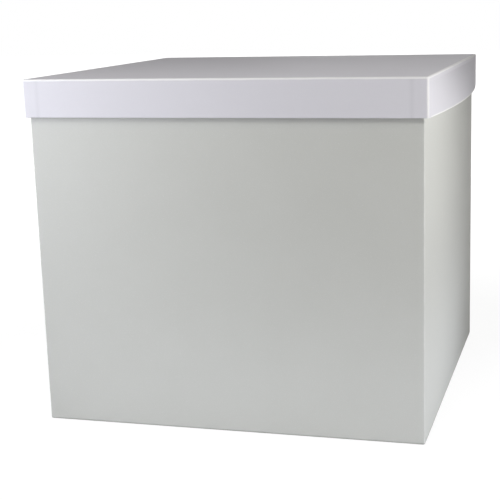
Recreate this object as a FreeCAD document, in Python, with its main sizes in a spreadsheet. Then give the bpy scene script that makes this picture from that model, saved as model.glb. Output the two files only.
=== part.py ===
import FreeCAD, Part
import os
import Sketcher

# Wedding card box: a paper-wrapped board box with a lift-off lid.
# Millimetres, +Z up, origin on the floor under the middle of the box, front wall facing -Y.

doc = FreeCAD.newDocument("card_box")

# Driving dimensions
SIZES = {
    # box body over its cover paper
    "body_width": 300.0,
    "body_depth": 300.0,
    "body_height": 266.5,
    "body_corner_radius": 1.6,
    "body_fold_radius": 1.2,
    # heights where the side walls are straight, half bowed and fully bowed
    "foot_height": 6.0,
    "belly_height": 100.0,
    "shoulder_drop": 50.0,
    # outward bow of the side walls, in the middle of their length
    "belly_bow": 2.2,
    "shoulder_bow": 3.4,
    "rim_bow": 0.4,
    # sheet stock
    "base_board": 2.0,
    "wall_board": 2.0,
    "lid_top_board": 1.5,
    "lid_rim_board": 1.5,
    "cover_paper": 0.25,
    "base_paper": 0.25,
    "liner_paper": 0.2,
    "stay_tape": 0.2,
    "glue_film": 0.15,
    # how far the papers and tapes reach
    "stay_leg": 22.0,
    "body_turn_in": 20.0,
    "body_turn_under": 16.0,
    "base_sheet_margin": 4.0,
    "liner_drop": 12.0,
    "liner_clearance": 0.3,
    # lid
    "lid_rim_depth": 28.6,
    "lid_clearance": 0.7,
    "lid_seat_gap": 0.2,
    "lid_corner_radius": 2.0,
    "lid_fold_radius": 1.6,
    "lid_straight": 4.0,
    "lid_bow": 8.0,
    "lid_turn_in": 18.0,
    "lid_liner_margin": 1.5,
}

sheet = doc.addObject("Spreadsheet::Sheet", "Sizes")
for row, (alias, value) in enumerate(SIZES.items(), start=1):
    sheet.set(f"A{row}", alias)
    sheet.set(f"B{row}", str(value))
    sheet.setAlias(f"B{row}", alias)
doc.recompute()


def cell(alias):
    """The sheet cell of one driving dimension, as an expression."""
    return f"Sizes.{alias}"


def total(*terms):
    """Sum of sizes and expressions."""
    return "(" + " + ".join(cell(term) if term in SIZES else term for term in terms) + ")"


def less(first, *terms):
    """First size or expression less all the others."""
    return "(" + " - ".join(cell(term) if term in SIZES else term for term in (first, *terms)) + ")"


def number(expression):
    """Present value of an expression."""
    return float(sheet.evalExpression(expression))


def negative(expression):
    return f"(0 - {expression})"


# Layers of a wrapped wall, as depths in from the outside of the cover paper
WRAP_INSIDE = total("cover_paper")
STAY_OUTSIDE = total(WRAP_INSIDE, "glue_film")
STAY_INSIDE = total(STAY_OUTSIDE, "stay_tape")
BOARD_OUTSIDE = total(STAY_INSIDE, "glue_film")
BODY_BOARD_INSIDE = total(BOARD_OUTSIDE, "wall_board")
BODY_TURN_OUTSIDE = total(BODY_BOARD_INSIDE, "glue_film")
BODY_TURN_INSIDE = total(BODY_TURN_OUTSIDE, "cover_paper")
LINER_OUTSIDE = total(BODY_TURN_INSIDE, "glue_film")
LINER_INSIDE = total(LINER_OUTSIDE, "liner_paper")
LID_BOARD_INSIDE = total(BOARD_OUTSIDE, "lid_rim_board")
LID_TURN_OUTSIDE = total(LID_BOARD_INSIDE, "glue_film")
LID_TURN_INSIDE = total(LID_TURN_OUTSIDE, "cover_paper")

# Heights of the box body
RIM = cell("body_height")
WRAP_BOTTOM = total("base_paper", "glue_film")
BASE_BOTTOM = total(WRAP_BOTTOM, "cover_paper", "glue_film")
BASE_TOP = total(BASE_BOTTOM, "base_board")
FOOT = total(WRAP_BOTTOM, "foot_height")
SHOULDER = less(RIM, "shoulder_drop")
WALL_TOP = less(RIM, "cover_paper", "glue_film")

# Heights of the closed lid
LID_LINER_BOTTOM = total(RIM, "lid_seat_gap")
LID_BOARD_BOTTOM = total(LID_LINER_BOTTOM, "liner_paper", "glue_film")
LID_BOARD_TOP = total(LID_BOARD_BOTTOM, "lid_top_board")
LID_TOP = total(LID_BOARD_TOP, "glue_film", "cover_paper")
LID_STRAIGHT = less(LID_TOP, "lid_straight")
LID_LOW = less(LID_TOP, "lid_rim_depth")
LID_BOARD_LOW = total(LID_LOW, "cover_paper", "glue_film")

# Half widths and depths of the body and the lid, over the cover paper and over the boards
BODY_X = f"({cell('body_width')} / 2)"
BODY_Y = f"({cell('body_depth')} / 2)"
LID_X = total(BODY_X, "lid_clearance", LID_TURN_INSIDE)
LID_Y = total(BODY_Y, "lid_clearance", LID_TURN_INSIDE)
BODY_BOARD_X = less(BODY_X, BOARD_OUTSIDE)
BODY_BOARD_Y = less(BODY_Y, BOARD_OUTSIDE)
LID_BOARD_X = less(LID_X, BOARD_OUTSIDE)
LID_BOARD_Y = less(LID_Y, BOARD_OUTSIDE)

# Reach of the blocks that trim a skin, well past its outside
PAST_X = cell("body_width")
PAST_Y = cell("body_depth")
PAST_TOP = f"(2 * {LID_TOP})"
FLOOR = "0"

# How a sketch numbers the ends of an edge and its own axes, whose crossing is the start of the first
START, END = range(1, 3)
X_AXIS, Y_AXIS = range(-1, -3, -1)
ORIGIN = X_AXIS

# How close to a level an edge counts as lying on it
LEVEL_TOLERANCE = 1e-4


def level_sketch(body, name, level):
    """Empty sketch on the body's XY plane, lifted to a level."""
    sketch = body.newObject("Sketcher::SketchObject", name)
    plane = next(item for item in body.Origin.OriginFeatures if item.Role == "XY_Plane")
    sketch.AttachmentSupport = (plane, [""])
    sketch.MapMode = "FlatFace"
    sketch.setExpression("AttachmentOffset.Base.z", level)
    return sketch


def bind(sketch, name, expression, kind, *where):
    """Dimension of a sketch, tied to the sheet."""
    index = sketch.addConstraint(Sketcher.Constraint(kind, *where, number(expression)))
    sketch.renameConstraint(index, name)
    sketch.setExpression(f"Constraints.{name}", expression)


def arc_radius(half_chord, bow):
    """Radius of an arc with this half chord that stands out by bow in its middle."""
    return f"(({half_chord})^2 + ({bow})^2) / (2 * ({bow}))"


def edge_between(start, middle, end, bowed):
    """Straight edge, or an arc through the middle point."""
    points = [FreeCAD.Vector(x, y, 0) for x, y in (start, middle, end)]
    if bowed:
        return Part.Arc(*points)
    return Part.LineSegment(points[0], points[2])


def join_in_turn(sketch, count):
    for index in range(count):
        following = (index + 1) % count
        sketch.addConstraint(Sketcher.Constraint("Coincident", index, END, following, START))


def mirror_ends(sketch, first, second, axis):
    sketch.addConstraint(Sketcher.Constraint("Symmetric", *first, *second, axis))


def outline(body, name, level, half_x, half_y, corner=None, bow=None):
    """Plan of the box at one level: flat front and back, sides that may bow, corners that may be round."""
    sketch = level_sketch(body, name, level)
    x, y = number(half_x), number(half_y)
    radius = number(corner) if corner else 0.0
    stand_out = number(bow) if bow else 0.0
    flat_x, flat_y = x - radius, y - radius
    starts = [(x, -flat_y), (flat_x, y), (-x, flat_y), (-flat_x, -y)]
    ends = [(x, flat_y), (-flat_x, y), (-x, -flat_y), (flat_x, -y)]
    middles = [(x + stand_out, 0), (0, y), (-x - stand_out, 0), (0, -y)]
    signs = [(1, 1), (-1, 1), (-1, -1), (1, -1)]
    reach = radius * 0.5 ** 0.5
    for turn in range(4):
        is_side = turn % 2 == 0
        sketch.addGeometry(edge_between(starts[turn], middles[turn], ends[turn], bow and is_side))
        if corner:
            sign_x, sign_y = signs[turn]
            middle = (sign_x * (flat_x + reach), sign_y * (flat_y + reach))
            sketch.addGeometry(edge_between(ends[turn], middle, starts[(turn + 1) % 4], True))
    step = 2 if corner else 1
    right, back, left, front = (step * turn for turn in range(4))
    join_in_turn(sketch, 4 * step)
    mirror_ends(sketch, (right, START), (right, END), X_AXIS)
    mirror_ends(sketch, (back, START), (back, END), Y_AXIS)
    mirror_ends(sketch, (left, START), (left, END), X_AXIS)
    flat_half_y = half_y
    if corner:
        mirror_ends(sketch, (front, START), (front, END), Y_AXIS)
        mirror_ends(sketch, (right, END), (left, START), Y_AXIS)
        mirror_ends(sketch, (back, START), (front, END), X_AXIS)
        flat_half_y = less(half_y, corner)
        bind(sketch, "flat_half_x", less(half_x, corner), "DistanceX", ORIGIN, START, back, START)
        bind(sketch, "half_y", half_y, "DistanceY", ORIGIN, START, back, START)
        for other in (3, 5, 7):
            sketch.addConstraint(Sketcher.Constraint("Equal", 1, other))
        bind(sketch, "corner", corner, "Radius", 1)
    bind(sketch, "half_x", half_x, "DistanceX", ORIGIN, START, right, END)
    bind(sketch, "flat_half_y", flat_half_y, "DistanceY", ORIGIN, START, right, END)
    if bow:
        sketch.addConstraint(Sketcher.Constraint("Equal", right, left))
        bind(sketch, "side_radius", arc_radius(flat_half_y, bow), "Radius", right)
    return sketch


def panel_outline(body, name, level, half_length, face, thickness, corner=None, bow=None):
    """Plan of one upright board that faces -Y: flat or bowed, with square or round outer corners."""
    sketch = level_sketch(body, name, level)
    x, y, depth = number(half_length), number(face), number(thickness)
    radius = number(corner) if corner else 0.0
    stand_out = number(bow) if bow else 0.0
    flat_x, flat_y, inner_y = x - radius, y - radius, y - depth
    reach = radius * 0.5 ** 0.5
    flat_half = half_length
    outer = sketch.addGeometry(edge_between((-flat_x, -y), (0, -y - stand_out), (flat_x, -y), bow))
    right_end = sketch.addGeometry(edge_between((x, -flat_y), (0, 0), (x, -inner_y), False))
    inner = sketch.addGeometry(edge_between((-x, -inner_y), (0, -inner_y - stand_out), (x, -inner_y), bow))
    left_end = sketch.addGeometry(edge_between((-x, -inner_y), (0, 0), (-x, -flat_y), False))
    joints = [(right_end, END, inner, END), (left_end, START, inner, START)]
    if corner:
        flat_half = less(half_length, corner)
        middles = ((flat_x + reach, -flat_y - reach), (-flat_x - reach, -flat_y - reach))
        right_round = sketch.addGeometry(edge_between((flat_x, -y), middles[0], (x, -flat_y), True))
        left_round = sketch.addGeometry(edge_between((-x, -flat_y), middles[1], (-flat_x, -y), True))
        joints += [(outer, END, right_round, START), (right_round, END, right_end, START)]
        joints += [(left_end, END, left_round, START), (left_round, END, outer, START)]
    else:
        joints += [(outer, END, right_end, START), (left_end, END, outer, START)]
    for joint in joints:
        sketch.addConstraint(Sketcher.Constraint("Coincident", *joint))
    mirror_ends(sketch, (outer, START), (outer, END), Y_AXIS)
    mirror_ends(sketch, (inner, START), (inner, END), Y_AXIS)
    sketch.addConstraint(Sketcher.Constraint("Vertical", right_end))
    bind(sketch, "half_length", half_length, "DistanceX", ORIGIN, START, inner, END)
    bind(sketch, "inner_face", less(face, thickness), "DistanceY", inner, END, ORIGIN, START)
    bind(sketch, "outer_face", face, "DistanceY", outer, END, ORIGIN, START)
    if corner:
        sketch.addConstraint(Sketcher.Constraint("Equal", right_round, left_round))
        mirror_ends(sketch, (right_end, START), (left_end, END), Y_AXIS)
        bind(sketch, "flat_half", flat_half, "DistanceX", ORIGIN, START, outer, END)
        bind(sketch, "end_face", less(face, corner), "DistanceY", right_end, START, ORIGIN, START)
        bind(sketch, "corner", corner, "Radius", right_round)
    if bow:
        bind(sketch, "outer_radius", arc_radius(flat_half, bow), "Radius", outer)
        bind(sketch, "inner_radius", arc_radius(half_length, bow), "Radius", inner)
    return sketch


def edges_at_height(shape, height):
    """Names of the edges that lie flat at one height."""
    names = []
    for index, edge in enumerate(shape.Edges, start=1):
        box = edge.BoundBox
        if max(abs(box.ZMin - height), abs(box.ZMax - height)) < LEVEL_TOLERANCE:
            names.append(f"Edge{index}")
    return names


def add_pad(body, name, sketch, length, downward=False):
    pad = body.newObject("PartDesign::Pad", name)
    pad.Profile = sketch
    pad.Reversed = downward
    pad.setExpression("Length", length)
    doc.recompute()
    return pad


def add_fold(body, name, feature, height, radius):
    """Soft fold: a fillet round all the edges of a feature at one height."""
    fold = body.newObject("PartDesign::Fillet", name)
    fold.Base = (feature, edges_at_height(feature.Shape, number(height)))
    fold.setExpression("Radius", radius)
    doc.recompute()


def add_bevel(body, name, feature, height, radius):
    """Eased edge behind a fold: a chamfer that touches a round of this radius."""
    bevel = body.newObject("PartDesign::Chamfer", name)
    bevel.Base = (feature, edges_at_height(feature.Shape, number(height)))
    bevel.setExpression("Size", f"{radius} * (2 - sqrt(2))")
    doc.recompute()


def add_loft(body, name, sections, ruled):
    loft = body.newObject("PartDesign::AdditiveLoft", name)
    loft.Profile = sections[0]
    loft.Sections = sections[1:]
    loft.Ruled = ruled
    doc.recompute()


BOWS = [cell(bow) for bow in ("belly_bow", "shoulder_bow", "rim_bow")]


def body_envelope(name, depth, drop, round_corners=False, ease=None, radius=None):
    """Space inside one layer of the box body: straight at the foot, then lofted through the bowed plans."""
    body = doc.addObject("PartDesign::Body", name)
    half_x, half_y = less(BODY_X, depth), less(BODY_Y, depth)
    corner = less("body_corner_radius", depth) if round_corners else None
    foot = outline(body, f"{name}_foot", FOOT, half_x, half_y, corner)
    sections = [foot]
    for level, bow in zip((cell("belly_height"), SHOULDER, RIM), BOWS):
        sections.append(outline(body, f"{name}_plan", level, half_x, half_y, corner, bow))
    pad = add_pad(body, f"{name}_base", foot, drop, downward=True)
    if ease:
        ease(body, f"{name}_edge", pad, less(FOOT, drop), radius)
    add_loft(body, f"{name}_walls", sections, ruled=False)
    return body


def lid_envelope(name, depth, rise, round_corners=False, ease=None, radius=None):
    """Space inside one layer of the lid: straight under the top, then ruled out to the bowed lower edge."""
    body = doc.addObject("PartDesign::Body", name)
    half_x, half_y = less(LID_X, depth), less(LID_Y, depth)
    corner = less("lid_corner_radius", depth) if round_corners else None
    straight = outline(body, f"{name}_straight", LID_STRAIGHT, half_x, half_y, corner)
    low = outline(body, f"{name}_low", LID_LOW, half_x, half_y, corner, cell("lid_bow"))
    pad = add_pad(body, f"{name}_top", straight, rise)
    if ease:
        ease(body, f"{name}_edge", pad, total(LID_STRAIGHT, rise), radius)
    add_loft(body, f"{name}_rim", [straight, low], ruled=True)
    return body


def block(name, x, y, z):
    """Rectangular block between pairs of limits."""
    box = doc.addObject("Part::Box", name)
    for size, axis, (low, high) in zip(("Length", "Width", "Height"), "xyz", (x, y, z)):
        box.setExpression(size, f"{high} - {low}")
        box.setExpression(f"Placement.Base.{axis}", low)
    return box


def slab(name, low, high):
    """Block that keeps only what lies between two heights."""
    return block(name, (negative(PAST_X), PAST_X), (negative(PAST_Y), PAST_Y), (low, high))


def combine(kind, name, first, second):
    """Cut or common of two shapes, with its faces left as they are cut."""
    result = doc.addObject(f"Part::{kind}", name)
    result.Base = first
    result.Tool = second
    result.Refine = False
    return result


nodes = []


def keep(feature, label):
    """Names a finished piece."""
    feature.Label = label
    nodes.append(feature)
    return feature


def turned(feature, degrees):
    """Turns a finished piece about the upright axis of the box."""
    upright = FreeCAD.Vector(0, 0, 1)
    feature.Placement = FreeCAD.Placement(FreeCAD.Vector(), FreeCAD.Rotation(upright, degrees))
    return feature


# Base board, with its lower edge eased where the cover paper folds under it
base = doc.addObject("PartDesign::Body", "base_board_body")
base_corner = less("body_corner_radius", BOARD_OUTSIDE)
base_plan = outline(base, "base_plan", BASE_BOTTOM, BODY_BOARD_X, BODY_BOARD_Y, base_corner)
base_pad = add_pad(base, "base_pad", base_plan, cell("base_board"))
add_bevel(base, "base_bevel", base_pad, BASE_BOTTOM, less("body_fold_radius", BOARD_OUTSIDE))
keep(base, "base_board")


def flat_board(label, degrees, plan_sizes, low, high):
    """One flat panel of the front or the back, with its outer corners rounded."""
    body = doc.addObject("PartDesign::Body", f"{label}_body")
    plan = panel_outline(body, f"{label}_plan", low, *plan_sizes)
    add_pad(body, f"{label}_panel", plan, less(high, low))
    keep(turned(body, degrees), label)


def side_wall_board(label, degrees):
    """One side panel, standing on the base board: straight at its foot and bowed above."""
    body = doc.addObject("PartDesign::Body", f"{label}_body")
    plan_sizes = less(BODY_Y, BODY_BOARD_INSIDE), BODY_BOARD_X, cell("wall_board")
    foot = panel_outline(body, f"{label}_foot", FOOT, *plan_sizes)
    sections = [foot]
    for level, bow in zip((cell("belly_height"), SHOULDER, WALL_TOP), BOWS):
        sections.append(panel_outline(body, f"{label}_plan", level, *plan_sizes, bow=bow))
    add_pad(body, f"{label}_base", foot, less(FOOT, BASE_TOP), downward=True)
    add_loft(body, f"{label}_panel", sections, ruled=False)
    keep(turned(body, degrees), label)


# Front and back walls run the full width, and the side walls are butted between them
front_wall = BODY_BOARD_X, BODY_BOARD_Y, cell("wall_board"), base_corner
flat_board("front_wall_board", 0, front_wall, BASE_TOP, WALL_TOP)
flat_board("back_wall_board", 180, front_wall, BASE_TOP, WALL_TOP)
side_wall_board("right_wall_board", 90)
side_wall_board("left_wall_board", 270)

# Paper tape round each upright corner of the walls
CORNERS = {"front_left": (-1, -1), "front_right": (1, -1), "back_left": (-1, 1), "back_right": (1, 1)}


def corner_limits(sign, half, past):
    """Range across one corner: from the end of the tape's leg to past the outside."""
    inner = less(half, "stay_leg")
    if sign > 0:
        return inner, past
    return negative(past), negative(inner)


def corner_stays(prefix, ring, half_x, half_y, low, high):
    for corner, (sign_x, sign_y) in CORNERS.items():
        label = f"{prefix}{corner}_stay"
        x = corner_limits(sign_x, half_x, PAST_X)
        y = corner_limits(sign_y, half_y, PAST_Y)
        reach = block(f"{label}_reach", x, y, (low, high))
        keep(combine("Common", f"{label}_tape", ring, reach), label)


stay_outside = body_envelope("stay_outside", STAY_OUTSIDE, FOOT, round_corners=True)
stay_inside = body_envelope("stay_inside", STAY_INSIDE, FOOT, round_corners=True)
stay_ring = combine("Cut", "stay_ring", stay_outside, stay_inside)
corner_stays("", stay_ring, BODY_X, BODY_Y, BASE_TOP, WALL_TOP)

# Cover paper of the body: round the walls, over the rim and down inside it, and under the base
TURN_LOW = less(RIM, "body_turn_in")
wrap_outside = body_envelope(
    "wrap_outside",
    FLOOR,
    cell("foot_height"),
    round_corners=True,
    ease=add_fold,
    radius=cell("body_fold_radius"),
)
wrap_inside = body_envelope(
    "wrap_inside",
    WRAP_INSIDE,
    less("foot_height", "cover_paper"),
    round_corners=True,
    ease=add_bevel,
    radius=less("body_fold_radius", "cover_paper"),
)
turn_outside = body_envelope("turn_outside", BODY_TURN_OUTSIDE, FOOT)
turn_inside = body_envelope("turn_inside", BODY_TURN_INSIDE, FOOT)
hollow = combine("Common", "wrap_hollow", wrap_inside, slab("below_turn", FLOOR, TURN_LOW))
wall_slot = combine("Cut", "wrap_slot_ring", wrap_inside, turn_outside)
wall_slot = combine("Common", "wrap_slot", wall_slot, slab("in_turn", TURN_LOW, less(RIM, "cover_paper")))
mouth = combine("Common", "wrap_mouth", turn_inside, slab("past_turn", TURN_LOW, PAST_TOP))
window_x = less(BODY_X, "body_turn_under")
window_y = less(BODY_Y, "body_turn_under")
window = block("wrap_window", (negative(window_x), window_x), (negative(window_y), window_y), (FLOOR, FOOT))
body_wrap = wrap_outside
for step, cutter in enumerate((hollow, wall_slot, mouth, window)):
    body_wrap = combine("Cut", f"body_wrap_{step}", body_wrap, cutter)
keep(body_wrap, "body_wrap")


def paper_sheet(label, half_x, half_y, low, thickness):
    """Flat rectangular sheet of paper."""
    body = doc.addObject("PartDesign::Body", f"{label}_body")
    plan = outline(body, f"{label}_plan", low, half_x, half_y)
    add_pad(body, f"{label}_pad", plan, thickness)
    keep(body, label)


# Sheet under the base, over the turned-under edges of the cover paper
sheet_x = less(BODY_X, "base_sheet_margin")
sheet_y = less(BODY_Y, "base_sheet_margin")
paper_sheet("base_sheet", sheet_x, sheet_y, FLOOR, cell("base_paper"))

# Liner paper on the walls, over the lower edge of the turn-in, and on the floor
liner_outside = body_envelope("liner_outside", LINER_OUTSIDE, FOOT)
liner_inside = body_envelope("liner_inside", LINER_INSIDE, FOOT)
liner_ring = combine("Cut", "liner_ring", liner_outside, liner_inside)
LINER_BOTTOM = total(BASE_TOP, "glue_film")
liner_height = slab("liner_height", LINER_BOTTOM, less(RIM, "liner_drop"))
keep(combine("Common", "wall_liner_tube", liner_ring, liner_height), "wall_liner")
floor_x = less(BODY_X, LINER_INSIDE, "liner_clearance")
floor_y = less(BODY_Y, LINER_INSIDE, "liner_clearance")
paper_sheet("base_liner", floor_x, floor_y, LINER_BOTTOM, cell("liner_paper"))

# Top board of the lid, with its upper edge eased under the cover paper
lid_top = doc.addObject("PartDesign::Body", "lid_top_board_body")
lid_corner = less("lid_corner_radius", BOARD_OUTSIDE)
lid_plan = outline(lid_top, "lid_plan", LID_BOARD_BOTTOM, LID_BOARD_X, LID_BOARD_Y, lid_corner)
lid_pad = add_pad(lid_top, "lid_pad", lid_plan, cell("lid_top_board"))
add_bevel(lid_top, "lid_bevel", lid_pad, LID_BOARD_TOP, less("lid_fold_radius", BOARD_OUTSIDE))
keep(lid_top, "lid_top_board")


def side_rim_board(label, degrees):
    """One side panel of the rim, hung under the top board: straight above and bowed out at its lower edge."""
    body = doc.addObject("PartDesign::Body", f"{label}_body")
    plan_sizes = less(LID_Y, LID_BOARD_INSIDE), LID_BOARD_X, cell("lid_rim_board")
    straight = panel_outline(body, f"{label}_straight", LID_STRAIGHT, *plan_sizes)
    low = panel_outline(body, f"{label}_low", LID_BOARD_LOW, *plan_sizes, bow=cell("lid_bow"))
    add_pad(body, f"{label}_top", straight, less(LID_BOARD_BOTTOM, LID_STRAIGHT))
    add_loft(body, f"{label}_panel", [straight, low], ruled=True)
    keep(turned(body, degrees), label)


# Front and back rims run the full width, and the side rims are butted between them
front_rim = LID_BOARD_X, LID_BOARD_Y, cell("lid_rim_board"), lid_corner
flat_board("lid_front_rim_board", 0, front_rim, LID_BOARD_LOW, LID_BOARD_BOTTOM)
flat_board("lid_back_rim_board", 180, front_rim, LID_BOARD_LOW, LID_BOARD_BOTTOM)
side_rim_board("lid_right_rim_board", 90)
side_rim_board("lid_left_rim_board", 270)

# Paper tape round each corner of the rim
lid_stay_outside = lid_envelope("lid_stay_outside", STAY_OUTSIDE, cell("lid_straight"), round_corners=True)
lid_stay_inside = lid_envelope("lid_stay_inside", STAY_INSIDE, cell("lid_straight"), round_corners=True)
lid_stay_ring = combine("Cut", "lid_stay_ring", lid_stay_outside, lid_stay_inside)
corner_stays("lid_", lid_stay_ring, LID_X, LID_Y, LID_BOARD_LOW, LID_BOARD_BOTTOM)

# Cover paper of the lid: over the top, down the rim, round its lower edge and up inside
LID_TURN_TOP = total(LID_LOW, "lid_turn_in")
lid_outside = lid_envelope(
    "lid_outside",
    FLOOR,
    cell("lid_straight"),
    round_corners=True,
    ease=add_fold,
    radius=cell("lid_fold_radius"),
)
lid_inside = lid_envelope(
    "lid_inside",
    WRAP_INSIDE,
    less("lid_straight", "cover_paper"),
    round_corners=True,
    ease=add_bevel,
    radius=less("lid_fold_radius", "cover_paper"),
)
lid_turn_outside = lid_envelope("lid_turn_outside", LID_TURN_OUTSIDE, cell("lid_straight"))
lid_turn_inside = lid_envelope("lid_turn_inside", LID_TURN_INSIDE, cell("lid_straight"))
lid_hollow = combine("Common", "lid_hollow", lid_inside, slab("above_turn", LID_TURN_TOP, PAST_TOP))
rim_slot = combine("Cut", "lid_slot_ring", lid_inside, lid_turn_outside)
in_lid_turn = slab("in_lid_turn", total(LID_LOW, "cover_paper"), LID_TURN_TOP)
rim_slot = combine("Common", "lid_slot", rim_slot, in_lid_turn)
lid_mouth = combine("Common", "lid_mouth", lid_turn_inside, slab("past_lid_turn", FLOOR, LID_TURN_TOP))
lid_wrap = lid_outside
for step, cutter in enumerate((lid_hollow, rim_slot, lid_mouth)):
    lid_wrap = combine("Cut", f"lid_wrap_{step}", lid_wrap, cutter)
keep(lid_wrap, "lid_wrap")

# Liner paper under the top board
lid_liner_x = less(LID_X, LID_BOARD_INSIDE, "lid_liner_margin")
lid_liner_y = less(LID_Y, LID_BOARD_INSIDE, "lid_liner_margin")
paper_sheet("lid_liner", lid_liner_x, lid_liner_y, LID_LINER_BOTTOM, cell("liner_paper"))

doc.recompute()

# Every object has to be sound before a piece is written
failed = [item.Name for item in doc.Objects if {"Invalid", "Error"} & set(item.State)]
failed += [node.Label for node in nodes if node.Shape.isNull() or not node.Shape.isValid()]
failed += [node.Label for node in nodes if len(node.Shape.Solids) != 1]
if failed:
    raise RuntimeError(f"pieces that failed: {failed}")

os.makedirs("parts", exist_ok=True)
for node in nodes:
    node.Shape.exportStep(f"parts/{node.Label}.step")
    print(f"{node.Label}: {node.Shape.Volume:.1f} mm3")
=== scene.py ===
import math

import bmesh
import bpy
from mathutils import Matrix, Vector, noise


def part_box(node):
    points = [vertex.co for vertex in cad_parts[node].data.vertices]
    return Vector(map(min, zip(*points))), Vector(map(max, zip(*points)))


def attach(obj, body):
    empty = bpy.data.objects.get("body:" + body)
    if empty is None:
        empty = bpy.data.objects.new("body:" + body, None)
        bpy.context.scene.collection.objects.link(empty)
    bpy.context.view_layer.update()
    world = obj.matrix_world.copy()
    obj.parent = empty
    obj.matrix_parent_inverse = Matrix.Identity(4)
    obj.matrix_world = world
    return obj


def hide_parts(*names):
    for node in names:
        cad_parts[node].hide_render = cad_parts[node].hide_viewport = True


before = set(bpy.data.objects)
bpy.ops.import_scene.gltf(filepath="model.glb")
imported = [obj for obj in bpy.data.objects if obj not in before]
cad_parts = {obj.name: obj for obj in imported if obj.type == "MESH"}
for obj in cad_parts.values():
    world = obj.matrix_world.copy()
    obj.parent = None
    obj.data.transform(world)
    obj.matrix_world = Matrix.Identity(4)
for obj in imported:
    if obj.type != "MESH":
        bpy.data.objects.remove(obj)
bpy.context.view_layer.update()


# Grey board
# Stiff board pressed from recycled fibre, 2 mm in the body and 1.5 mm in the lid, die-cut and butted
# edge to edge. It stays bare inside the lid's rim, where its mottled grey fibres show.
MM = 0.001
BOARD_NODES = (
    "base_board", "front_wall_board", "back_wall_board", "left_wall_board", "right_wall_board",
    "lid_top_board", "lid_front_rim_board", "lid_back_rim_board", "lid_left_rim_board", "lid_right_rim_board",
)
BOARD_DARK = (0.235, 0.225, 0.205, 1)
BOARD_LIGHT = (0.345, 0.330, 0.300, 1)
BOARD_FIBRE = (0.52, 0.50, 0.46, 1)
NOISE_LOW = 0.3
NOISE_HIGH = 0.7
FIBRE_START = 0.60
FIBRE_FULL = 0.68
FIBRE_SHARE = 0.55
GLOSS_SPREAD = 0.06


def node(material, kind, inputs=None, **settings):
    """Adds a shader node, sets its options and fills its inputs with values or other nodes' outputs."""
    added = material.node_tree.nodes.new("ShaderNode" + kind)
    for option, value in settings.items():
        setattr(added, option, value)
    for name, value in (inputs or {}).items():
        if isinstance(value, bpy.types.NodeSocket):
            material.node_tree.links.new(value, added.inputs[name])
        else:
            added.inputs[name].default_value = value
    return added


def band(material, value, start, full, low=0.0, high=1.0):
    """A number that goes from low to high while another one goes from start to full."""
    return node(material, "MapRange", {0: value, 1: start, 2: full, 3: low, 4: high}).outputs[0]


def blend(material, share, first, second):
    """A colour mixed from two, by the share of the second."""
    return node(material, "Mix", {0: share, 6: first, 7: second}, data_type="RGBA").outputs[2]


def paper_stock(name, dark, light, fibre, cloud, length, roughness, sheen, tooth, relief):
    """A paper or board: clouded pulp, pale fibres of a given length and a felt tooth of a given relief."""
    material = bpy.data.materials.new(name)
    material.use_nodes = True
    place = node(material, "TexCoord").outputs["Object"]
    pulp = node(
        material, "TexNoise", {"Vector": place, "Scale": 1 / cloud, "Detail": 5.0, "Roughness": 0.6}
    ).outputs["Fac"]
    lie = node(material, "TexNoise", {"Vector": place, "Scale": 0.4 / length, "Detail": 1.0})
    bend = node(
        material, "VectorMath", {0: lie.outputs["Color"], 1: (length, length, length)}, operation="MULTIPLY"
    )
    bent_place = node(material, "VectorMath", {0: place, 1: bend.outputs[0]}, operation="ADD")
    strand = node(material, "TexNoise", {"Vector": bent_place.outputs[0], "Scale": 3 / length, "Detail": 2.0})
    strand_line = band(material, strand.outputs["Fac"], FIBRE_START, FIBRE_FULL, 0.0, FIBRE_SHARE)
    colour = blend(material, strand_line, blend(material, pulp, dark, light), fibre)
    gloss = band(material, pulp, NOISE_LOW, NOISE_HIGH, roughness - GLOSS_SPREAD, roughness + GLOSS_SPREAD)
    grain = node(material, "TexNoise", {"Vector": place, "Scale": 0.4 / tooth, "Detail": 3.0})
    felt = node(material, "Bump", {"Strength": 0.6, "Distance": relief, "Height": grain.outputs["Fac"]})
    surface = material.node_tree.nodes["Principled BSDF"]
    surface.inputs["Specular IOR Level"].default_value = sheen
    material.node_tree.links.new(colour, surface.inputs["Base Color"])
    material.node_tree.links.new(gloss, surface.inputs["Roughness"])
    material.node_tree.links.new(felt.outputs[0], surface.inputs["Normal"])
    return material


def dress(names, material):
    """Gives CAD pieces their finish."""
    for name in names:
        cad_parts[name].data.materials.clear()
        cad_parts[name].data.materials.append(material)


grey_board = paper_stock(
    "grey_board", BOARD_DARK, BOARD_LIGHT, BOARD_FIBRE,
    cloud=9 * MM, length=3 * MM, roughness=0.86, sheen=0.2, tooth=0.6 * MM, relief=0.03 * MM,
)
dress(BOARD_NODES, grey_board)


# Corner stays
# Strips of gummed kraft tape, folded round each corner of the body and of the lid's rim before the
# cover goes on. They hold the butted boards square and end up hidden between board and cover.
STAY_NODES = [
    part + corner + "_stay"
    for part in ("", "lid_")
    for corner in ("front_left", "front_right", "back_left", "back_right")
]
KRAFT_DARK = (0.30, 0.185, 0.095, 1)
KRAFT_LIGHT = (0.42, 0.275, 0.155, 1)
KRAFT_FIBRE = (0.56, 0.41, 0.26, 1)
kraft_tape = paper_stock(
    "kraft_stay_tape", KRAFT_DARK, KRAFT_LIGHT, KRAFT_FIBRE,
    cloud=6 * MM, length=4 * MM, roughness=0.62, sheen=0.3, tooth=0.5 * MM, relief=0.02 * MM,
)
dress(STAY_NODES, kraft_tape)


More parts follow.
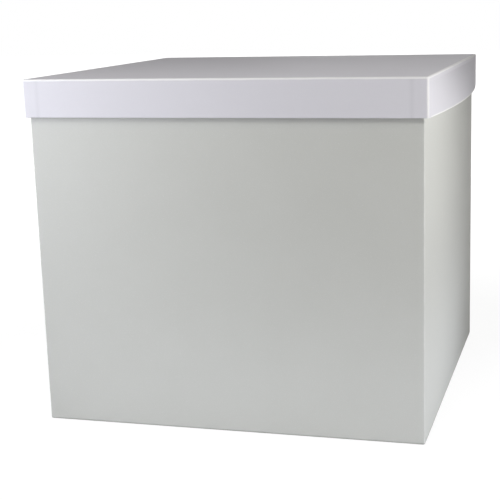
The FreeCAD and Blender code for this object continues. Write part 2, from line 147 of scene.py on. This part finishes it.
# Body cover
# One sheet of satin pearl paper, 0.25 mm thick, glued round the four walls. It turns over the rim and
# 20 mm down inside, and turns 16 mm under the base. Its closing edge laps itself on the back wall.
COVER_PAPER = 0.25 * MM
BODY_CORNER_RADIUS = 1.2 * MM
BODY_FOLD_RADIUS = 1.2 * MM
RIM_FOLD_RADIUS = 0.5 * MM
RIM_THICKNESS = 3.15 * MM
BODY_TURN_IN = 20 * MM
BODY_TURN_UNDER = 16 * MM
WALL_CUTS = 39
WALL_DEPTH = 4 * MM
FACE_DEPTH = 1 * MM
OUTER_FOLD = (-2 * MM, 1 * MM)
INNER_FOLD = (-5 * MM, -2.4 * MM)
CORNER_SEGMENTS = 6
UNDER_SEGMENTS = 5
RIM_SEGMENTS = 4
SMOOTH_ANGLE = math.radians(40)
FOOT = (6.4 * MM, 0.0)
BELLY = (100 * MM, 2.2 * MM)
SHOULDER = (216.5 * MM, 3.4 * MM)
RIM_BOW = 0.4 * MM
CRUSH_WIDTH = 6 * MM
CRUSH_DEPTH = 0.08 * MM
BODY_RIPPLE = 0.03 * MM
BODY_RIPPLE_RATE = 18
RIPPLE_DEPTH = 1.5 * MM
BODY_STILL_DEPTH = 2.8 * MM
LAP_INSET = 14 * MM
LAP_WIDTH = 0.2 * MM
LAP_STEP = 0.2 * MM
LAP_WANDER = 0.15 * MM
LAP_WANDER_REACH = 0.3 * MM
LAP_WANDER_RATE = 30
LAP_SOIL_WALL_SIDE = (-0.5 * MM, -0.2 * MM)
LAP_SOIL_LAP_SIDE = (0.4 * MM, 0.1 * MM)
LAP_SOIL_SHARE = 0.6
FOLD_WAVER_RATE = 70.0
BODY_FOLD_WAVER = 0.2 * MM
CORNER_WEAR_AND_HIGHLIGHT_FULL = 0.3 * MM
RIM_WEAR_START = 1 * MM
RIM_WEAR_FULL = 0.5 * MM
FOOT_SHADE_START = 1.6 * MM
FOOT_SHADE_FULL = 0.4 * MM
PEARL_DARK = (0.662, 0.668, 0.630, 1)
PEARL_LIGHT = (0.702, 0.708, 0.672, 1)
PEARL_FIBRE = (0.755, 0.758, 0.735, 1)
# Pale tone of the folds: wear of the paper, and on the upright corners also a painted highlight.
PEARL_WEAR_AND_HIGHLIGHT = (0.84, 0.845, 0.815, 1)
# Dark tone for the seam line of the back lap, and for the painted shade along the foot fold.
PEARL_SEAM_AND_SHADE = (0.47, 0.47, 0.44, 1)


def start_box(name, low, high):
    """A new box between two corners, left open in edit mode."""
    bpy.ops.object.select_all(action="DESELECT")
    bpy.ops.mesh.primitive_cube_add(size=1, location=(low + high) / 2, scale=high - low)
    piece = bpy.context.object
    piece.name = piece.data.name = name
    bpy.ops.object.transform_apply(location=True, rotation=True, scale=True)
    bpy.ops.object.mode_set(mode="EDIT")
    return piece


def pick(piece, kind, passes):
    """Selects only the faces or edges of an open mesh whose every corner passes a test of place."""
    bpy.ops.mesh.select_mode(type=kind)
    bpy.ops.mesh.select_all(action="DESELECT")
    mesh = bmesh.from_edit_mesh(piece.data)
    for element in mesh.faces if kind == "FACE" else mesh.edges:
        if all(passes(corner.co) for corner in element.verts):
            element.select_set(True)
    bmesh.update_edit_mesh(piece.data)


def same(a, b):
    """Whether two lengths agree to a micrometre."""
    return abs(a - b) < 0.001 * MM


def reach(place):
    """How far a point stands from the box's upright centre line, measured square to the walls."""
    return max(abs(place.x), abs(place.y))


def fold_round(piece, level, half, ring, radius, segments):
    """Rounds the fold at one level that lies in a ring, given by its distances out from the walls' face."""
    nearest, farthest = half + ring[0], half + ring[1]
    pick(piece, "EDGE", lambda place: same(place.z, level) and nearest < reach(place) < farthest)
    bpy.ops.mesh.bevel(offset=radius, segments=segments, affect="EDGES", clamp_overlap=False)


def turn_edge_in(piece, level, inside, travel):
    """Carries the open edge at one level in to a square of a given half width, then up or down."""
    pick(piece, "EDGE", lambda place: same(place.z, level))
    bpy.ops.mesh.extrude_edges_indiv()
    mesh = bmesh.from_edit_mesh(piece.data)
    for corner in mesh.verts:
        if corner.select:
            corner.co.xy *= inside / reach(corner.co)
    bmesh.update_edit_mesh(piece.data)
    if travel:
        bpy.ops.mesh.extrude_edges_indiv()
        bpy.ops.transform.translate(value=(0, 0, travel))


def smooth_step(low, high, value):
    """0 below a range, 1 above it and an even ease between."""
    share = min(max((value - low) / (high - low), 0), 1)
    return share * share * (3 - 2 * share)


def finish_skin(piece, thickness):
    """Gives a folded sheet its thickness, inwards from its outer face, and shades its folds."""
    bpy.ops.object.mode_set(mode="OBJECT")
    solid = piece.modifiers.new("thickness", "SOLIDIFY")
    solid.thickness = thickness
    solid.offset = -1
    bpy.ops.object.modifier_apply(modifier=solid.name)
    bpy.ops.object.shade_smooth_by_angle(angle=SMOOTH_ANGLE)
    flats = piece.modifiers.new("flat_faces", "WEIGHTED_NORMAL")
    flats.keep_sharp = True
    bpy.ops.object.modifier_apply(modifier=flats.name)


wrap_low, wrap_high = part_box("body_wrap")
body_half = wrap_high.y
rim_level = wrap_high.z
under_level = wrap_low.z
body_cover = start_box(
    "body_cover", Vector((-body_half, -body_half, under_level)), Vector((body_half, body_half, rim_level))
)
for level in (under_level, rim_level):
    pick(body_cover, "FACE", lambda place: same(place.z, level))
    bpy.ops.mesh.delete(type="ONLY_FACE")
bpy.ops.mesh.select_all(action="SELECT")
bpy.ops.mesh.subdivide(number_cuts=WALL_CUTS)
pick(body_cover, "EDGE", lambda place: same(abs(place.x), body_half) and same(abs(place.y), body_half))
bpy.ops.mesh.bevel(offset=BODY_CORNER_RADIUS, segments=CORNER_SEGMENTS, affect="EDGES")
for crush_cut in (CRUSH_WIDTH, CRUSH_WIDTH / 2):
    for side in (-1, 1):
        bpy.ops.mesh.select_all(action="SELECT")
        bpy.ops.mesh.bisect(plane_co=(side * (body_half - crush_cut), 0, 0), plane_no=(1, 0, 0))
for lap_cut in (LAP_INSET, LAP_INSET + LAP_WIDTH):
    pick(body_cover, "FACE", lambda place: same(place.y, body_half))
    bpy.ops.mesh.bisect(plane_co=(body_half - lap_cut, 0, 0), plane_no=(1, 0, 0))
turn_edge_in(body_cover, rim_level, body_half - RIM_THICKNESS, -BODY_TURN_IN)
turn_edge_in(body_cover, under_level, body_half - BODY_TURN_UNDER, 0)
fold_round(body_cover, under_level, body_half, OUTER_FOLD, BODY_FOLD_RADIUS, UNDER_SEGMENTS)
for rim_ring in (OUTER_FOLD, INNER_FOLD):
    fold_round(body_cover, rim_level, body_half, rim_ring, RIM_FOLD_RADIUS, RIM_SEGMENTS)
bpy.ops.object.mode_set(mode="OBJECT")


def wall_bow(height):
    """How far a side wall swells at mid-length: not at the foot, most at the shoulder, little at the rim."""
    knots = (FOOT, BELLY, SHOULDER, (rim_level, RIM_BOW))
    swell = 0.0
    for i, (level, bow) in enumerate(knots):
        share = bow
        for j, (other, _) in enumerate(knots):
            if i != j:
                share *= (height - other) / (level - other)
        swell += share
    return max(swell, 0.0) * smooth_step(0, 2 * FOOT[0], height)


lap_edge = body_half - LAP_INSET - LAP_WIDTH / 2
for corner in body_cover.data.vertices:
    place = corner.co
    outer = smooth_step(body_half - BODY_STILL_DEPTH, body_half - RIPPLE_DEPTH, reach(place))
    ripple = BODY_RIPPLE * outer * (noise.noise(place * BODY_RIPPLE_RATE) - 1)
    if abs(place.x) > body_half - WALL_DEPTH:
        across = max(1 - (place.y / (body_half - BODY_CORNER_RADIUS)) ** 2, 0)
        place.x += math.copysign(1, place.x) * (wall_bow(place.z) * across + ripple)
    if abs(place.y) > body_half - WALL_DEPTH:
        crush = CRUSH_DEPTH * outer * smooth_step(body_half - CRUSH_WIDTH, body_half, abs(place.x))
        place.y += math.copysign(1, place.y) * (ripple - crush)
    if place.y > body_half - FACE_DEPTH:
        if abs(place.x - lap_edge) < LAP_WANDER_REACH:
            place.x += LAP_WANDER * noise.noise(Vector((0.5, 0.5, place.z * LAP_WANDER_RATE)))
        if place.x > lap_edge:
            place.y += LAP_STEP
finish_skin(body_cover, COVER_PAPER)


def of_two(material, operation, first, second):
    """One number worked out from two."""
    return node(material, "Math", {0: first, 1: second}, operation=operation).outputs[0]


def tint(material, share, tone):
    """Lays a tone over a finish by a share."""
    surface = material.node_tree.nodes["Principled BSDF"]
    base = surface.inputs["Base Color"].links[0].from_socket
    material.node_tree.links.new(blend(material, share, base, tone), surface.inputs["Base Color"])


def fold_places(material, wander):
    """A point's x, y and uneven height, and how far out it lies along x, along y, at most and at least."""
    place = node(material, "TexCoord").outputs["Object"]
    waver = node(material, "TexNoise", {"Vector": place, "Scale": FOLD_WAVER_RATE, "Detail": 3.0}).outputs["Fac"]
    uneven = band(material, waver, NOISE_LOW, NOISE_HIGH, -wander, wander)
    x, y, z = node(material, "SeparateXYZ", {0: place}).outputs
    out_x = of_two(material, "ADD", of_two(material, "ABSOLUTE", x, 0), uneven)
    out_y = of_two(material, "ADD", of_two(material, "ABSOLUTE", y, 0), uneven)
    return {
        "x": x, "y": y, "height": of_two(material, "ADD", z, uneven), "out_x": out_x, "out_y": out_y,
        "most": of_two(material, "MAXIMUM", out_x, out_y), "least": of_two(material, "MINIMUM", out_x, out_y),
    }


pearl_paper = paper_stock(
    "pearl_cover_paper", PEARL_DARK, PEARL_LIGHT, PEARL_FIBRE,
    cloud=40 * MM, length=1.6 * MM, roughness=0.66, sheen=0.08, tooth=0.35 * MM, relief=0.006 * MM,
)
at = fold_places(pearl_paper, BODY_FOLD_WAVER)
# Upright corners: paler from wear and from a painted highlight along the rounded corners. Rim fold: paler
# from wear.
upright_corner = band(
    pearl_paper, at["least"], body_half - BODY_CORNER_RADIUS, body_half - CORNER_WEAR_AND_HIGHLIGHT_FULL
)
rim_fold = of_two(
    pearl_paper, "MINIMUM",
    band(pearl_paper, at["most"], body_half - RIM_WEAR_START, body_half - RIM_WEAR_FULL),
    band(pearl_paper, at["height"], rim_level - RIM_WEAR_START, rim_level - RIM_WEAR_FULL),
)
lap_line = of_two(
    pearl_paper, "MINIMUM",
    band(pearl_paper, at["x"], lap_edge + LAP_SOIL_WALL_SIDE[0], lap_edge + LAP_SOIL_WALL_SIDE[1]),
    band(pearl_paper, at["x"], lap_edge + LAP_SOIL_LAP_SIDE[0], lap_edge + LAP_SOIL_LAP_SIDE[1]),
)
back_face = band(pearl_paper, at["y"], body_half - 2 * FACE_DEPTH, body_half - FACE_DEPTH)
back_lap = of_two(pearl_paper, "MINIMUM", lap_line, back_face)
# Painted shade: the cover darkens along the fold at the foot, where it turns down towards the floor.
foot_painted_shade = band(pearl_paper, at["height"], under_level + FOOT_SHADE_START, under_level + FOOT_SHADE_FULL)
tint(pearl_paper, of_two(pearl_paper, "MULTIPLY", back_lap, LAP_SOIL_SHARE), PEARL_SEAM_AND_SHADE)
# Paler folds: wear, and on the upright corners a painted highlight as well.
for fold_wear_and_highlight in (upright_corner, rim_fold):
    tint(pearl_paper, fold_wear_and_highlight, PEARL_WEAR_AND_HIGHLIGHT)
# Painted shade along the foot fold.
tint(pearl_paper, foot_painted_shade, PEARL_SEAM_AND_SHADE)
body_cover.data.materials.append(pearl_paper)
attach(body_cover, "box")
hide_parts("body_wrap")


# Base sheet and liners
# Uncoated papers glued on last: one under the base over the turned-under cover, one round the inside
# of the walls over the turned-in cover, one on the floor of the box and one inside the lid's top.
SHEET_DARK = (0.69, 0.68, 0.65, 1)
SHEET_LIGHT = (0.76, 0.75, 0.72, 1)
SHEET_FIBRE = (0.83, 0.82, 0.79, 1)
LINER_DARK = (0.735, 0.725, 0.700, 1)
LINER_LIGHT = (0.80, 0.79, 0.765, 1)
LINER_FIBRE = (0.86, 0.85, 0.83, 1)
base_paper = paper_stock(
    "base_paper", SHEET_DARK, SHEET_LIGHT, SHEET_FIBRE,
    cloud=14 * MM, length=2.4 * MM, roughness=0.80, sheen=0.2, tooth=0.5 * MM, relief=0.015 * MM,
)
dress(["base_sheet"], base_paper)
liner_paper = paper_stock(
    "liner_paper", LINER_DARK, LINER_LIGHT, LINER_FIBRE,
    cloud=18 * MM, length=2 * MM, roughness=0.72, sheen=0.2, tooth=0.45 * MM, relief=0.012 * MM,
)
dress(["wall_liner", "base_liner", "lid_liner"], liner_paper)


# Lid cover
# One sheet of smooth, cool white paper glued over the lid's top and down its four rims, with a tucked
# ear at each corner. It turns under the rim and 18 mm up inside. The side rims flare out lower down.
LID_CORNER_RADIUS = 2.0 * MM
LID_FOLD_RADIUS = 1.2 * MM
LID_EDGE_RADIUS = 0.4 * MM
LID_RIM_THICKNESS = 2.65 * MM
LID_TURN_IN = 18 * MM
LID_STRAIGHT = 4 * MM
LID_FLARE = 8 * MM
LID_CUTS = 39
LID_TOP_SEGMENTS = 6
LID_TOP_DEPTH = 2 * MM
EAR_WIDTH = 11.5 * MM
EAR_SLOPE = 1 * MM
EAR_RISE = 0.08 * MM
LID_RIPPLE = 0.02 * MM
LID_RIPPLE_RATE = 20
LID_STILL_DEPTH = 2.3 * MM
LID_FOLD_WAVER = 0.15 * MM
LID_CORNER_WEAR_AND_HIGHLIGHT_FULL = 1 * MM
TOP_WEAR_AND_HIGHLIGHT_START = 1.8 * MM
TOP_WEAR_AND_HIGHLIGHT_FULL = 1.2 * MM
FLARE_WEAR_AND_HIGHLIGHT_FULL = 1 * MM
EDGE_WEAR_AND_HIGHLIGHT_START = 1.2 * MM
EDGE_WEAR_AND_HIGHLIGHT_FULL = 0.7 * MM
EAR_SHADE_WIDTH = 2.5 * MM
EAR_SHADE_SHARE = 0.3
WHITE_DARK = (0.800, 0.788, 0.832, 1)
WHITE_LIGHT = (0.835, 0.823, 0.868, 1)
WHITE_FIBRE = (0.865, 0.855, 0.895, 1)
# Pale tone of the lid's folds: mostly a painted highlight, partly wear of the paper.
WHITE_WEAR_AND_HIGHLIGHT = (0.985, 0.978, 0.980, 1)
# Grey tone for the painted shade along the edges of the tucked ears.
WHITE_EAR_SHADE = (0.70, 0.69, 0.73, 1)

lid_low, lid_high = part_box("lid_wrap")
lid_half = lid_high.y
lid_top = lid_high.z
lid_edge = lid_low.z
lid_cover = start_box(
    "lid_cover", Vector((-lid_half, -lid_half, lid_edge)), Vector((lid_half, lid_half, lid_top))
)
pick(lid_cover, "FACE", lambda place: same(place.z, lid_edge))
bpy.ops.mesh.delete(type="ONLY_FACE")
bpy.ops.mesh.select_all(action="SELECT")
bpy.ops.mesh.subdivide(number_cuts=LID_CUTS)
# The highest row of the rim goes, which leaves room for the fold at the top.
lid_row = (lid_top - lid_edge) / (LID_CUTS + 1)
pick(lid_cover, "EDGE", lambda place: same(place.z, lid_top - lid_row))
bpy.ops.mesh.dissolve_edges(use_verts=True)
for ear_cut in (EAR_WIDTH, EAR_WIDTH + EAR_SLOPE):
    for side in (-1, 1):
        bpy.ops.mesh.select_all(action="SELECT")
        bpy.ops.mesh.bisect(plane_co=(side * (lid_half - ear_cut), 0, 0), plane_no=(1, 0, 0))
pick(lid_cover, "EDGE", lambda place: same(abs(place.x), lid_half) and same(abs(place.y), lid_half))
bpy.ops.mesh.bevel(offset=LID_CORNER_RADIUS, segments=CORNER_SEGMENTS, affect="EDGES")
turn_edge_in(lid_cover, lid_edge, lid_half - LID_RIM_THICKNESS, LID_TURN_IN)
fold_round(lid_cover, lid_top, lid_half, OUTER_FOLD, LID_FOLD_RADIUS, LID_TOP_SEGMENTS)
for edge_ring in (OUTER_FOLD, INNER_FOLD):
    fold_round(lid_cover, lid_edge, lid_half, edge_ring, LID_EDGE_RADIUS, RIM_SEGMENTS)
bpy.ops.object.mode_set(mode="OBJECT")

flare_start = lid_top - LID_STRAIGHT
ear_edge = lid_half - EAR_WIDTH
for corner in lid_cover.data.vertices:
    place = corner.co
    outer = smooth_step(lid_half - LID_STILL_DEPTH, lid_half - RIPPLE_DEPTH, reach(place))
    ripple = LID_RIPPLE * outer * (noise.noise(place * LID_RIPPLE_RATE) - 1)
    ear = EAR_RISE * outer * (smooth_step(ear_edge - EAR_SLOPE, ear_edge, abs(place.x)) - 1)
    if abs(place.x) > lid_half - WALL_DEPTH:
        across = max(1 - (place.y / (lid_half - LID_CORNER_RADIUS)) ** 2, 0)
        down = min(max((flare_start - place.z) / (flare_start - lid_edge), 0), 1)
        place.x += math.copysign(1, place.x) * (LID_FLARE * down * across + ripple)
    if abs(place.y) > lid_half - WALL_DEPTH:
        place.y += math.copysign(1, place.y) * (ripple + ear)
    top_share = smooth_step(lid_top - LID_TOP_DEPTH, lid_top, place.z)
    place.z += LID_RIPPLE * (noise.noise(place * LID_RIPPLE_RATE) - 1) * top_share
finish_skin(lid_cover, COVER_PAPER)

white_paper = paper_stock(
    "white_cover_paper", WHITE_DARK, WHITE_LIGHT, WHITE_FIBRE,
    cloud=55 * MM, length=1.2 * MM, roughness=0.72, sheen=0.08, tooth=0.3 * MM, relief=0.003 * MM,
)
at = fold_places(white_paper, LID_FOLD_WAVER)
# Upright corners, top fold and flared lower side edges: paler, mostly a painted highlight where the folds
# catch the light, partly wear.
lid_corner = band(white_paper, at["least"], lid_half - LID_CORNER_RADIUS, lid_half - LID_CORNER_WEAR_AND_HIGHLIGHT_FULL)
top_fold = of_two(
    white_paper, "MINIMUM",
    band(white_paper, at["most"], lid_half - TOP_WEAR_AND_HIGHLIGHT_START, lid_half - TOP_WEAR_AND_HIGHLIGHT_FULL),
    band(white_paper, at["height"], lid_top - TOP_WEAR_AND_HIGHLIGHT_START, lid_top - TOP_WEAR_AND_HIGHLIGHT_FULL),
)
side_edge = of_two(
    white_paper, "MINIMUM",
    band(white_paper, at["out_x"], lid_half, lid_half + FLARE_WEAR_AND_HIGHLIGHT_FULL),
    band(white_paper, at["height"], lid_edge + EDGE_WEAR_AND_HIGHLIGHT_START, lid_edge + EDGE_WEAR_AND_HIGHLIGHT_FULL),
)
# Painted shade: a soft darker band on the rim faces along the edge of each tucked ear.
ear_middle = ear_edge - EAR_SLOPE / 2
ear_line = of_two(
    white_paper, "MINIMUM",
    band(white_paper, at["out_x"], ear_middle - EAR_SHADE_WIDTH, ear_middle),
    band(white_paper, at["out_x"], ear_middle + EAR_SHADE_WIDTH, ear_middle),
)
rim_face = band(white_paper, at["out_y"], lid_half - 2 * FACE_DEPTH, lid_half - FACE_DEPTH)
ear_painted_shade = of_two(white_paper, "MINIMUM", ear_line, rim_face)
tint(white_paper, of_two(white_paper, "MULTIPLY", ear_painted_shade, EAR_SHADE_SHARE), WHITE_EAR_SHADE)
# Painted highlight, partly wear, on the lid's folds.
for fold_wear_and_highlight in (lid_corner, top_fold, side_edge):
    tint(white_paper, fold_wear_and_highlight, WHITE_WEAR_AND_HIGHLIGHT)
lid_cover.data.materials.append(white_paper)
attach(lid_cover, "lid")
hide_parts("lid_wrap")


# Studio
# A plain pale floor, a white surround, eleven soft lamps and the camera where the photograph was taken
# from. Three of the lamps are slightly warm and three slightly cool, like the light in the photograph.
FLOOR_SIZE = 12
FLOOR_GREY = (0.6, 0.6, 0.6, 1)
FLOOR_GLOW = 1.2
FLOOR_SHADE_REACH = 0.3
FLOOR_WHITE_REACH = 1.1
FLOOR_SHADE_SHARE = 0.76
SURROUND_GREY = (0.5, 0.5, 0.5, 1)
SURROUND_LIGHT = 0.04
WHITE = (1, 1, 1, 1)
PLAIN_TONE = (1, 1, 1)
WARM_TONE = (1.0, 0.955, 0.91)
COOL_TONE = (0.94, 0.975, 1.08)


def seen_share(material, strength):
    """A share that counts for the camera, for reflections and through glass, and for no other rays."""
    rays = node(material, "LightPath").outputs
    seen = of_two(material, "MAXIMUM", rays["Is Camera Ray"], rays["Is Glossy Ray"])
    shown = of_two(material, "MAXIMUM", seen, rays["Is Transmission Ray"])
    return of_two(material, "MULTIPLY", shown, strength)


bpy.ops.object.select_all(action="DESELECT")
bpy.ops.mesh.primitive_plane_add(size=FLOOR_SIZE, location=(0, 0, 0))
floor = bpy.context.object
floor.name = "studio_floor"
floor_paint = bpy.data.materials.new("floor_paint")
floor_paint.use_nodes = True
floor_nodes = floor_paint.node_tree
floor_nodes.nodes.remove(floor_nodes.nodes["Principled BSDF"])
floor_matt = node(floor_paint, "BsdfDiffuse", {"Color": FLOOR_GREY})
floor_glow = node(floor_paint, "Emission", {"Color": WHITE, "Strength": FLOOR_GLOW})
floor_place = node(floor_paint, "TexCoord").outputs["Object"]
floor_away = node(floor_paint, "VectorMath", {0: floor_place}, operation="LENGTH").outputs["Value"]
floor_white = band(floor_paint, floor_away, FLOOR_SHADE_REACH, FLOOR_WHITE_REACH, FLOOR_SHADE_SHARE, 1.0)
floor_share = seen_share(floor_paint, floor_white)
floor_mix = node(
    floor_paint, "MixShader", {0: floor_share, 1: floor_matt.outputs[0], 2: floor_glow.outputs[0]}
)
floor_nodes.links.new(floor_mix.outputs[0], floor_nodes.nodes["Material Output"].inputs["Surface"])
floor.data.materials.append(floor_paint)

world = bpy.data.worlds.new("studio")
world.use_nodes = True
bpy.context.scene.world = world
dim_surround = world.node_tree.nodes["Background"]
dim_surround.inputs["Color"].default_value = SURROUND_GREY
dim_surround.inputs["Strength"].default_value = SURROUND_LIGHT
white_surround = node(world, "Background", {"Color": WHITE, "Strength": 1.0})
surround_share = seen_share(world, 1.0)
surround = node(
    world, "MixShader", {0: surround_share, 1: dim_surround.outputs[0], 2: white_surround.outputs[0]}
)
world.node_tree.links.new(surround.outputs[0], world.node_tree.nodes["World Output"].inputs["Surface"])


def soft_lamp(name, place, aim, size, power, tone):
    """A soft box of a given width and height that faces a point."""
    light = bpy.data.lights.new(name, "AREA")
    light.shape = "RECTANGLE"
    light.size, light.size_y = size
    light.energy = power
    light.color = tone
    lamp = bpy.data.objects.new(name, light)
    lamp.location = place
    lamp.rotation_euler = (Vector(aim) - Vector(place)).to_track_quat("-Z", "Y").to_euler()
    lamp.visible_camera = False
    bpy.context.scene.collection.objects.link(lamp)


soft_lamp("left_tight", (-0.26, -0.36, 0.25), (-0.13, -0.15, 0.19), (0.15, 0.15), 0.30, COOL_TONE)
soft_lamp("left_mid", (-0.18, -0.46, 0.34), (-0.09, -0.15, 0.23), (0.20, 0.20), 0.14, PLAIN_TONE)
soft_lamp("front_steep", (-0.10, -0.55, 1.25), (-0.05, -0.10, 0.25), (0.4, 0.4), 1.75, WARM_TONE)
soft_lamp("front_mid", (-0.05, -0.90, 1.10), (0.0, -0.15, 0.20), (0.4, 0.4), 5.2, PLAIN_TONE)
soft_lamp("right_near", (0.75, -0.35, 0.29), (0.15, -0.10, 0.16), (0.3, 0.05), 0.31, WARM_TONE)
soft_lamp("right_corner", (0.38, -0.17, 0.26), (0.15, -0.15, 0.22), (0.2, 0.04), 0.42, PLAIN_TONE)
soft_lamp("right_back", (0.45, 0.45, 0.18), (0.15, 0.12, 0.17), (0.2, 0.1), 0.17, WARM_TONE)
soft_lamp("foot_strip", (0.07, -0.27, 0.02), (0.07, -0.15, 0.02), (0.5, 0.04), 0.069, COOL_TONE)
soft_lamp("side_strip", (0.27, -0.08, 0.02), (0.15, -0.08, 0.02), (0.3, 0.04), 0.088, COOL_TONE)
soft_lamp("left_side", (-1.20, 0.10, 0.16), (-0.15, 0.0, 0.14), (0.6, 0.4), 7.0, PLAIN_TONE)
soft_lamp("back_low", (-0.10, 1.30, 0.16), (-0.05, 0.15, 0.15), (0.5, 0.5), 9.0, PLAIN_TONE)

camera_data = bpy.data.cameras.new("camera")
camera_data.sensor_width = 36
camera_data.lens = 84.297
camera_data.shift_x = -0.08
camera = bpy.data.objects.new("camera", camera_data)
camera.location = (0.26806, -0.95692, 0.32302)
camera.rotation_euler = [math.radians(angle) for angle in (77.900, 1.401, 14.755)]
bpy.context.scene.collection.objects.link(camera)
bpy.context.scene.camera = camera
bpy.context.scene.view_settings.view_transform = "Standard"
